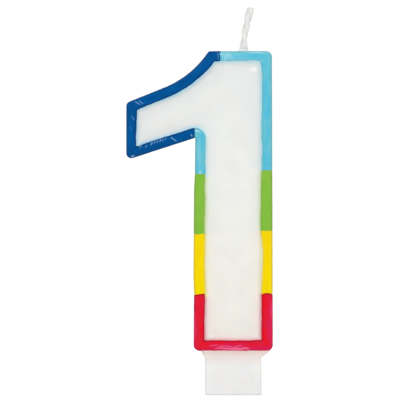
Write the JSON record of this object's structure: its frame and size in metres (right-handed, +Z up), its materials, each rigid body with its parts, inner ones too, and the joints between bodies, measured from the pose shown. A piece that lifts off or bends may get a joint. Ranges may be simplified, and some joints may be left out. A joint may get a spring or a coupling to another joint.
{
  "type": "number birthday candle",
  "caption": "Wax birthday candle shaped like the numeral 1, with rainbow-coloured rim, recessed white panel, wick and flat cake peg.",
  "frame": {"origin": "centre of the peg's flat foot", "axes": "+Z up along the stem, -Y out of the painted front, +X to the right of someone who faces the front"},
  "size_m": [0.0311, 0.009, 0.0825],
  "materials": {
    "white_wax": "satin, slightly translucent paraffin wax",
    "dark_blue_wax": "glossy pigmented wax, brushed on by hand",
    "light_blue_wax": "glossy pigmented wax, brushed on by hand",
    "green_wax": "glossy pigmented wax, brushed on by hand",
    "yellow_wax": "glossy pigmented wax, brushed on by hand",
    "red_wax": "glossy pigmented wax, brushed on by hand",
    "wick_cotton": "braided cotton soaked in wax"
  },
  "bodies": {
    "root": {"numeral_body": "white_wax", "wick": "wick_cotton", "wick_seal": "white_wax", "dark_blue_band": "dark_blue_wax", "light_blue_band_left": "light_blue_wax", "light_blue_band_right": "light_blue_wax", "green_band_left": "green_wax", "green_band_right": "green_wax", "yellow_band_left": "yellow_wax", "yellow_band_right": "yellow_wax", "red_band": "red_wax"}
  },
  "joints": []
}
